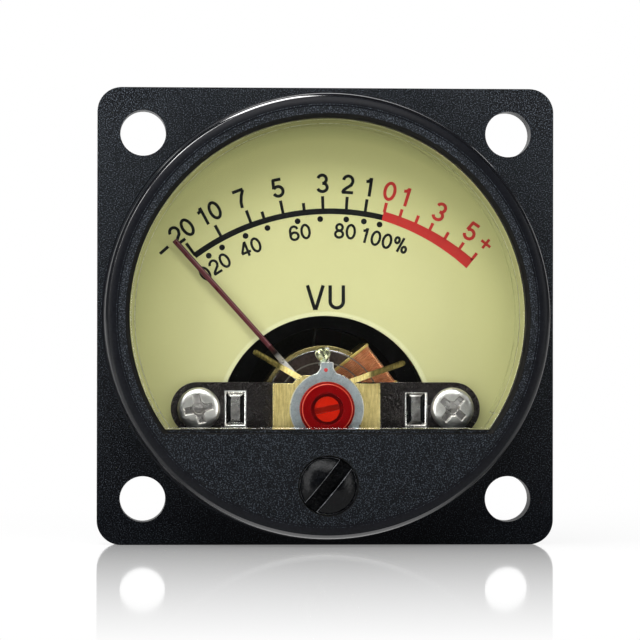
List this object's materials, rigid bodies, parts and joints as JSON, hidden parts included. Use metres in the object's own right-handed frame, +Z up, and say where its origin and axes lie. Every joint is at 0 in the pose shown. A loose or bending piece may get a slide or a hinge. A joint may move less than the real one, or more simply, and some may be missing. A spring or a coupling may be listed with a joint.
{
  "type": "panel meter",
  "caption": "Round-faced analog level meter on a square flange with corner holes, moving-coil movement, swinging pointer and zero adjuster screw",
  "frame": {"origin": "centre of the pattern of four fixing holes, on the rear face of the flange, which lies on the panel", "axes": "+Z is up along the dial, the dial looks along -Y, the rear case goes through the panel along +Y, +X is to the reader's right"},
  "size_m": [0.045, 0.0339, 0.045],
  "materials": {
    "case_plastic": "fine-textured black moulding",
    "zero_screw_plastic": "semi-gloss black moulding",
    "clear_window": "clear acrylic",
    "dial": "satin translucent plate with printed scale",
    "dark_nickel": "dark nickel plate",
    "screw_steel": "bright nickel plate",
    "yoke_steel": "black phosphate",
    "magnet": "ground magnet face",
    "brass": "brushed brass",
    "zinc": "grey blue zinc plate",
    "red_plastic": "deep red moulding",
    "red_lacquer": "orange-red locking lacquer",
    "jewel": "polished synthetic ruby",
    "spring_bronze": "bright phosphor bronze strip",
    "solder": "dull solder",
    "copper_wire": "enamelled copper wire",
    "aluminium_sheet": "thin sheet",
    "pointer_paint": "maroon paint over aluminium",
    "fibre": "phenolic fibre",
    "red_wire": "soft insulated wire",
    "black_wire": "soft insulated wire",
    "circuit_board": "solder mask",
    "lamp_resin": "warm lamp resin",
    "tin_plate": "tinned brass pin"
  },
  "bodies": {
    "case": {"front_case": "case_plastic", "window_lens": "clear_window", "rear_case": "case_plastic", "case_screws": "screw_steel", "dial_plate": "dial", "mounting_strip": "dark_nickel", "ear_screws": "screw_steel", "yoke_ring": "yoke_steel", "core_magnet": "magnet", "core_sleeve": "brass", "core_strap": "aluminium_sheet", "rear_bridge": "aluminium_sheet", "frame_screws": "screw_steel", "front_bridge": "brass", "lock_nut": "red_plastic", "front_jewel_screw": "red_lacquer", "front_jewel": "jewel", "rear_jewel_screw": "brass", "rear_jewel": "jewel", "rear_lock_nut": "brass", "insulating_washer": "fibre", "rear_spring_arm": "brass", "rear_hairspring": "spring_bronze", "signal_terminals": "tin_plate", "signal_leads": "red_wire", "lamp_board": "circuit_board", "lamps": "lamp_resin", "lamp_resistor": "black_wire", "lamp_terminals": "tin_plate", "lamp_leads": "black_wire"},
    "zero_screw_body": {"zero_screw": "zero_screw_plastic", "zero_screw_washer": "screw_steel"},
    "adjuster": {"adjuster_lever": "zinc", "spring_solder": "solder", "front_hairspring": "spring_bronze"},
    "moving_coil": {"coil_bobbin": "brass", "coil_winding": "copper_wire", "front_staff": "screw_steel", "rear_staff": "screw_steel", "front_collet": "brass", "rear_collet": "brass", "balance_cross": "aluminium_sheet", "balance_weights": "solder", "pointer": "pointer_paint", "coil_leads": "copper_wire"}
  },
  "joints": [
    {"name": "zero_screw_turn", "type": "hinge", "parent": "case", "child": "zero_screw_body", "pos_m": [0, -0.008, -0.0165], "axis": [0, 1, 0], "range_deg": [-40, 40]},
    {"name": "adjuster_swing", "type": "hinge", "parent": "case", "child": "adjuster", "pos_m": [0, -0.00465, -0.0091], "axis": [0, 1, 0], "range_deg": [-4.7, 4.7]},
    {"name": "pointer_swing", "type": "hinge", "parent": "adjuster", "child": "moving_coil", "pos_m": [0, -0.001, -0.0091], "axis": [0, 1, 0], "range_deg": [-0.5, 92], "stiffness_Nm_per_rad": 0.00002}
  ],
  "couplings": [
    {"joint": "adjuster_swing", "follows": "zero_screw_turn", "ratio": -0.115}
  ]
}
